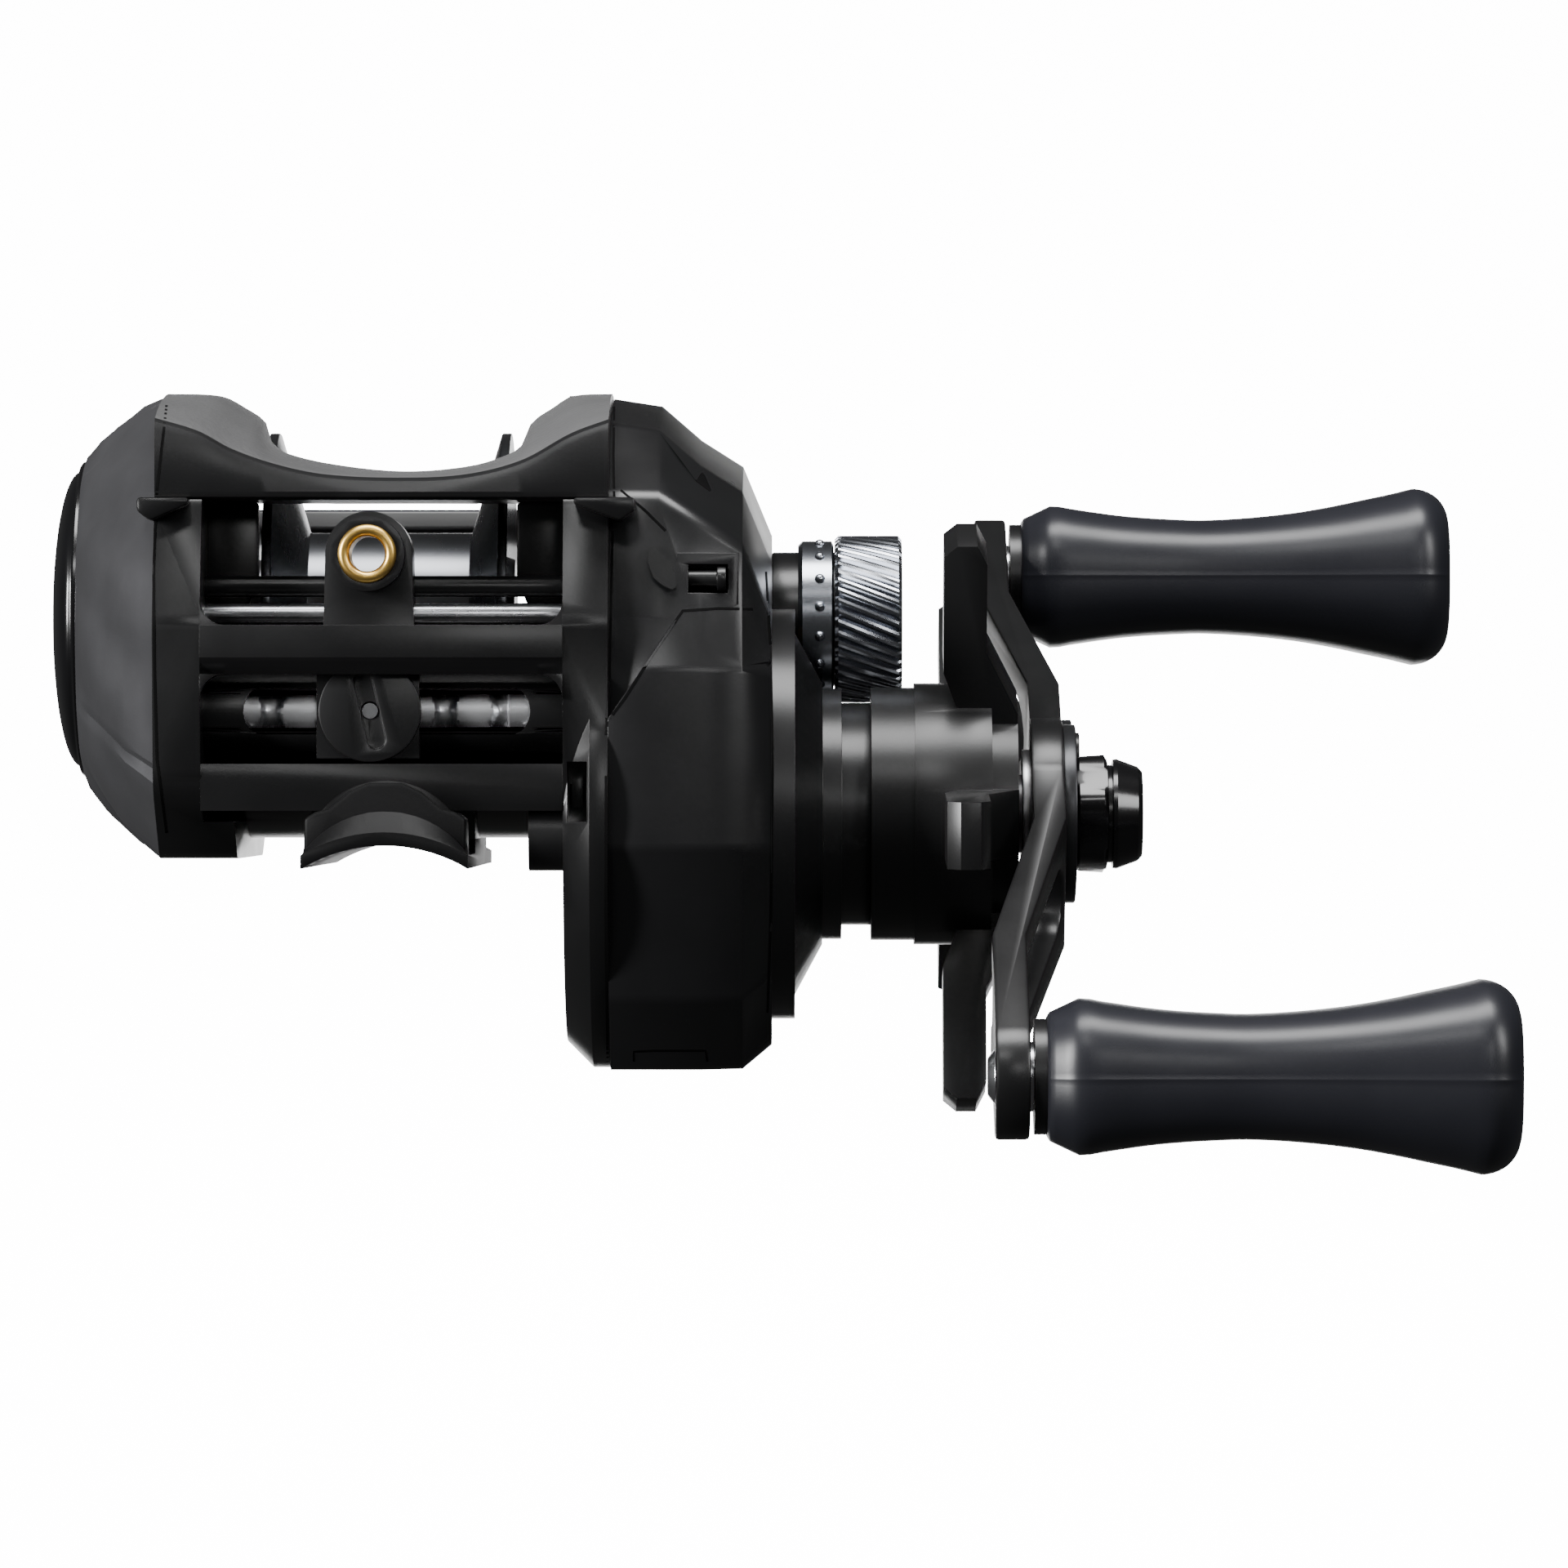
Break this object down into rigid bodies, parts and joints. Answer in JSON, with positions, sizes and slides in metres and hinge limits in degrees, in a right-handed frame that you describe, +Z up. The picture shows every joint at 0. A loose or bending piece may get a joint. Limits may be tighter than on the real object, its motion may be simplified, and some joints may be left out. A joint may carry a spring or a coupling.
{
  "type": "baitcasting reel",
  "caption": "Low-profile baitcasting reel with a double handle, star drag, cast-control cap, level wind and open spool, on a curved foot.",
  "frame": {"origin": "middle of the foot's saddle, below the spool axis", "axes": "+X along the spool axis towards the handle, -Y towards the rod tip, +Z up away from the rod"},
  "size_m": [0.1317, 0.1032, 0.0699],
  "materials": {
    "frame_black": "satin",
    "visor_grey": "pebbled satin",
    "foot_black": "satin",
    "screw_steel": "satin",
    "cover_charcoal": "satin",
    "gloss_black": "gloss",
    "inner_plastic": "matte",
    "cap_chrome": "polished",
    "spool_gunmetal": "anodised",
    "bright_steel": "polished",
    "rotor_aluminium": "satin",
    "gear_brass": "machined",
    "drag_carbon": "carbon matte",
    "star_black": "satin",
    "keeper_gunmetal": "satin",
    "knob_rubber": "satin",
    "guide_black": "satin",
    "ring_gold": "polished"
  },
  "bodies": {
    "frame": {"frame": "frame_black", "front_visor": "visor_grey", "reel_foot": "foot_black", "foot_screws": "screw_steel", "palm_side_plate": "cover_charcoal", "palm_disc": "gloss_black", "gear_side_cover": "cover_charcoal", "cover_screws": "frame_black", "cast_thread_sleeve": "frame_black", "palm_spool_bearing": "bright_steel", "gear_spool_bearing": "bright_steel", "drive_shaft_bearing": "bright_steel", "yoke_pins": "bright_steel", "roller_clutch": "screw_steel", "worm_tube": "frame_black", "worm_bushings": "gear_brass", "upper_guide_rod": "frame_black", "lower_guide_rod": "bright_steel"},
    "brake_dial": {"brake_dial": "gloss_black"},
    "magnet_carrier": {"magnet_carrier": "inner_plastic", "brake_magnets": "screw_steel"},
    "spool": {"spool": "spool_gunmetal", "spool_shaft": "bright_steel", "spool_pin": "bright_steel", "brake_rotor": "rotor_aluminium"},
    "yoke": {"clutch_yoke": "inner_plastic"},
    "pinion": {"pinion_gear": "gear_brass"},
    "handle": {"drive_shaft": "bright_steel", "main_gear": "gear_brass", "levelwind_cog": "inner_plastic", "ratchet_wheel": "screw_steel", "drag_washers": "drag_carbon", "pressure_plate": "screw_steel", "clutch_sleeve": "bright_steel", "drag_springs": "screw_steel", "handle_plate": "star_black", "handle_washer": "screw_steel", "nut_keeper": "keeper_gunmetal", "keeper_screw": "star_black", "handle_nut": "gloss_black", "knob_shafts": "bright_steel", "knob_washers": "bright_steel"},
    "drag_star": {"drag_star": "star_black"},
    "knob_near": {"knob_near": "knob_rubber", "knob_cap_near": "knob_rubber", "knob_base_near": "star_black"},
    "knob_far": {"knob_far": "knob_rubber", "knob_cap_far": "knob_rubber", "knob_base_far": "star_black"},
    "cast_cap": {"cast_control_cap": "cap_chrome", "cast_friction_disc": "inner_plastic"},
    "worm": {"worm_shaft": "bright_steel", "worm_gear": "inner_plastic"},
    "line_guide": {"line_guide": "guide_black", "guide_ring": "ring_gold", "pawl": "bright_steel", "pawl_cap": "guide_black"},
    "thumb_bar": {"thumb_bar": "guide_black"}
  },
  "joints": [
    {"name": "handle_spin", "type": "hinge", "parent": "frame", "child": "handle", "pos_m": [0.06, -0.009, 0.00276], "axis": [1, 0, 0], "continuous": true},
    {"name": "spool_spin", "type": "hinge", "parent": "frame", "child": "spool", "pos_m": [0, 0, 0.0208], "axis": [1, 0, 0], "continuous": true},
    {"name": "worm_spin", "type": "hinge", "parent": "frame", "child": "worm", "pos_m": [0, -0.024, 0.01205], "axis": [1, 0, 0], "continuous": true},
    {"name": "thumb_bar_press", "type": "slide", "parent": "frame", "child": "thumb_bar", "axis": [0, 0, -1], "range_m": [0, 0.004]},
    {"name": "yoke_shift", "type": "slide", "parent": "frame", "child": "yoke", "axis": [1, 0, 0], "range_m": [0, 0.002]},
    {"name": "pinion_spin", "type": "hinge", "parent": "yoke", "child": "pinion", "pos_m": [0.025, 0, 0.0208], "axis": [1, 0, 0], "continuous": true},
    {"name": "drag_star_turn", "type": "hinge", "parent": "handle", "child": "drag_star", "pos_m": [0.05, -0.009, 0.00276], "axis": [1, 0, 0], "range_deg": [-150, 30]},
    {"name": "knob_near_spin", "type": "hinge", "parent": "handle", "child": "knob_near", "pos_m": [0.06, -0.0507, -0.01998], "axis": [1, 0, 0], "continuous": true},
    {"name": "knob_far_spin", "type": "hinge", "parent": "handle", "child": "knob_far", "pos_m": [0.06, 0.0327, 0.0255], "axis": [1, 0, 0], "continuous": true},
    {"name": "cast_control_turn", "type": "hinge", "parent": "frame", "child": "cast_cap", "pos_m": [0.04, 0, 0.0208], "axis": [1, 0, 0], "range_deg": [-90, 90]},
    {"name": "brake_dial_turn", "type": "hinge", "parent": "frame", "child": "brake_dial", "pos_m": [-0.03, 0, 0.0208], "axis": [1, 0, 0], "range_deg": [0, 270]},
    {"name": "magnet_shift", "type": "slide", "parent": "frame", "child": "magnet_carrier", "axis": [1, 0, 0], "range_m": [0, 0.002]},
    {"name": "line_guide_slide", "type": "slide", "parent": "frame", "child": "line_guide", "axis": [1, 0, 0], "range_m": [-0.0064, 0.01]}
  ],
  "couplings": [
    {"joint": "spool_spin", "follows": "handle_spin", "ratio": -5.6},
    {"joint": "pinion_spin", "follows": "handle_spin", "ratio": -5.6},
    {"joint": "worm_spin", "follows": "handle_spin", "ratio": -2.5},
    {"joint": "yoke_shift", "follows": "thumb_bar_press", "ratio": 0.5},
    {"joint": "brake_dial_turn", "follows": "magnet_shift", "rad_per_m": 2356}
  ]
}
